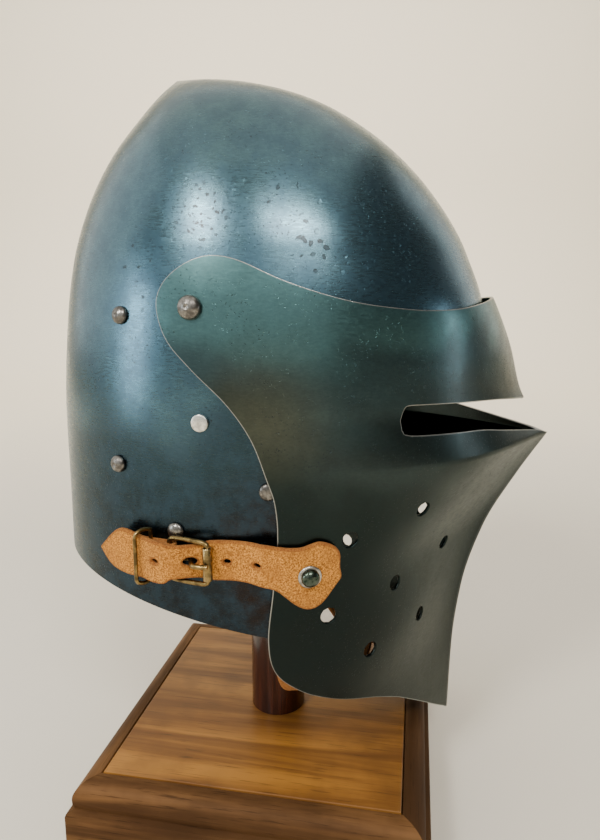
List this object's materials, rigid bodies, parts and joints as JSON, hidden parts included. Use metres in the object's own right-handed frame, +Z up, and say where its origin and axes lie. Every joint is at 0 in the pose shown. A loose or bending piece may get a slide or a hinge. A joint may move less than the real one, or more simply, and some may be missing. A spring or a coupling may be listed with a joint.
{
  "type": "bascinet on a wooden helmet stand",
  "caption": "Visored bascinet of blued steel: pointed skull piece and keeled visor with eye slot and breath holes, closed by buckled leather straps, on a post set in a moulded wooden block",
  "frame": {"origin": "middle of the stand block's underside, under the post's axis", "axes": "+Z up along the post, -Y the way the face looks, -X the wearer's right"},
  "size_m": [0.227, 0.2866, 0.414],
  "materials": {
    "skull_steel": "heat-blued, satin, with fine scratches and pits",
    "visor_steel": "heat-blued, green to brown, satin",
    "dark_rivet": "dark, worn brighter at the edge",
    "bright_rivet": "plated, lightly tarnished",
    "antique_brass": "darkened, edges rubbed bright",
    "suede": "rough flesh side, undyed tan",
    "walnut": "satin varnish",
    "dark_wood": "stained, gloss varnish"
  },
  "bodies": {
    "root": {"skull": "skull_steel", "visor": "visor_steel", "pivot_right": "dark_rivet", "pivot_left": "dark_rivet", "rear_rivet_upper_right": "dark_rivet", "rear_rivet_upper_left": "dark_rivet", "rear_rivet_lower_right": "dark_rivet", "rear_rivet_lower_left": "dark_rivet", "bright_rivet_right": "bright_rivet", "bright_rivet_left": "bright_rivet", "chin_rivet_right": "dark_rivet", "chin_rivet_left": "dark_rivet", "buckle_rivet_right": "dark_rivet", "buckle_rivet_left": "dark_rivet", "strap_right": "suede", "strap_left": "suede", "strap_washer_right": "bright_rivet", "strap_washer_left": "bright_rivet", "strap_rivet_right": "dark_rivet", "strap_rivet_left": "dark_rivet", "buckle_leather_right": "suede", "buckle_leather_left": "suede", "buckle_frame_right": "antique_brass", "buckle_frame_left": "antique_brass", "buckle_roller_right": "antique_brass", "buckle_roller_left": "antique_brass", "buckle_tongue_right": "antique_brass", "buckle_tongue_left": "antique_brass", "keeper_right": "antique_brass", "keeper_left": "antique_brass", "chin_strap": "suede", "stand_post": "dark_wood", "stand_block": "walnut"}
  },
  "joints": []
}
